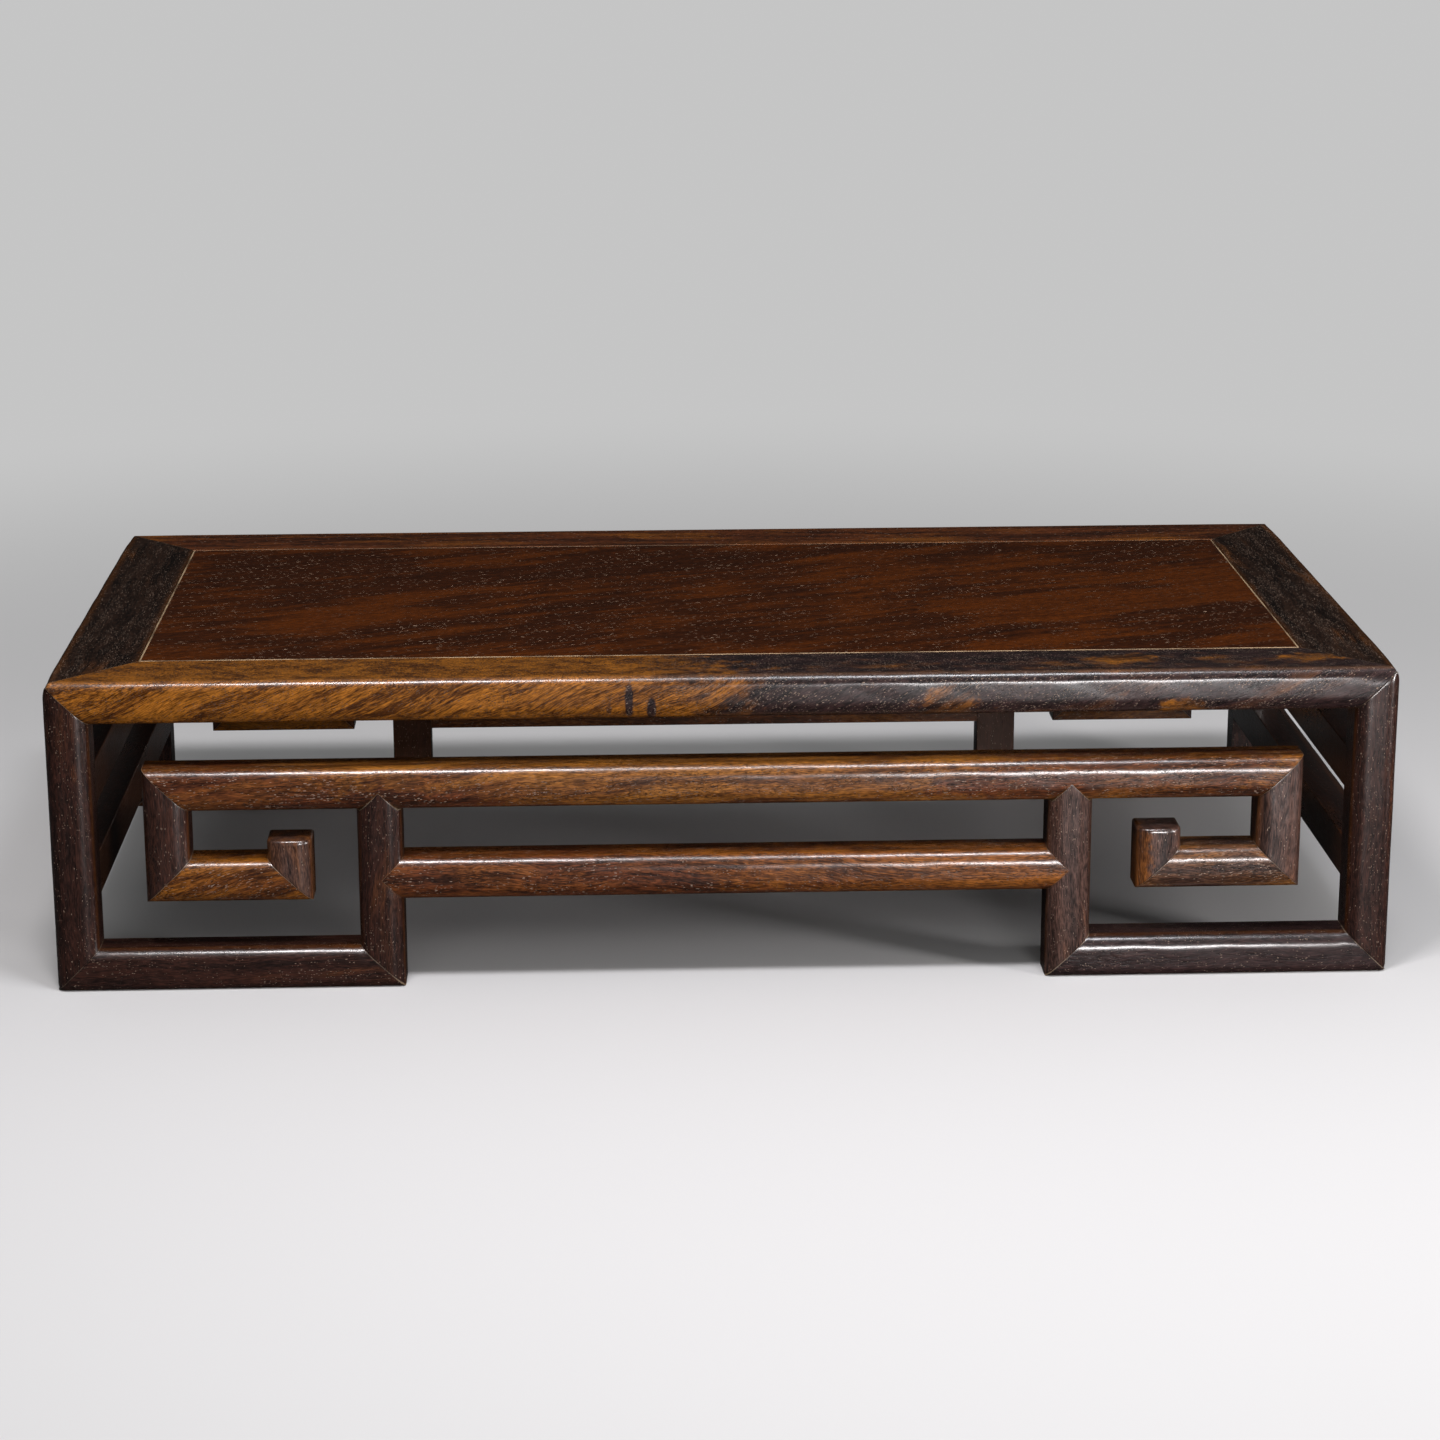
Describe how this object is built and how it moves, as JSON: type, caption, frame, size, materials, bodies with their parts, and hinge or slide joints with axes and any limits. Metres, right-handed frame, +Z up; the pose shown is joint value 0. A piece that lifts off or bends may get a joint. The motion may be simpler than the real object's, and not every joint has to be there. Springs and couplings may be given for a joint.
{
  "type": "low tea table",
  "caption": "Low rectangular wooden tea table with a framed floating-panel top, corner posts and open squared-scroll fretwork along both long sides.",
  "frame": {"origin": "on the floor, under the middle of the table", "axes": "+X along the length to the right of a viewer at the front, -Y to the front, +Z up"},
  "size_m": [0.604, 0.31, 0.1435],
  "materials": {
    "dark_wood": "satin wax over dark, fine-pored hardwood",
    "brown_wood": "satin wax over mid-brown hardwood",
    "golden_wood": "satin wax over golden-brown hardwood",
    "red_wood": "satin wax over reddish-brown hardwood",
    "plain_wood": "plain planed hardwood, unwaxed"
  },
  "bodies": {
    "root": {"top_front_rail": "golden_wood", "top_back_rail": "brown_wood", "top_left_rail": "dark_wood", "top_right_rail": "dark_wood", "top_panel": "red_wood", "panel_batten_left": "plain_wood", "panel_batten_right": "plain_wood", "front_upper_rail": "golden_wood", "front_lower_rail": "brown_wood", "post_front_left": "dark_wood", "front_foot_rail_left": "dark_wood", "front_inner_upright_left": "dark_wood", "front_scroll_upright_left": "brown_wood", "front_scroll_rail_left": "golden_wood", "front_scroll_tip_left": "brown_wood", "post_front_right": "dark_wood", "front_foot_rail_right": "dark_wood", "front_inner_upright_right": "dark_wood", "front_scroll_upright_right": "brown_wood", "front_scroll_rail_right": "golden_wood", "front_scroll_tip_right": "brown_wood", "back_upper_rail": "golden_wood", "back_lower_rail": "brown_wood", "post_back_left": "dark_wood", "back_foot_rail_left": "dark_wood", "back_inner_upright_left": "dark_wood", "back_scroll_upright_left": "brown_wood", "back_scroll_rail_left": "golden_wood", "back_scroll_tip_left": "brown_wood", "post_back_right": "dark_wood", "back_foot_rail_right": "dark_wood", "back_inner_upright_right": "dark_wood", "back_scroll_upright_right": "brown_wood", "back_scroll_rail_right": "golden_wood", "back_scroll_tip_right": "brown_wood", "left_lower_rail": "brown_wood", "left_upper_rail": "brown_wood", "right_lower_rail": "brown_wood", "right_upper_rail": "brown_wood"}
  },
  "joints": []
}
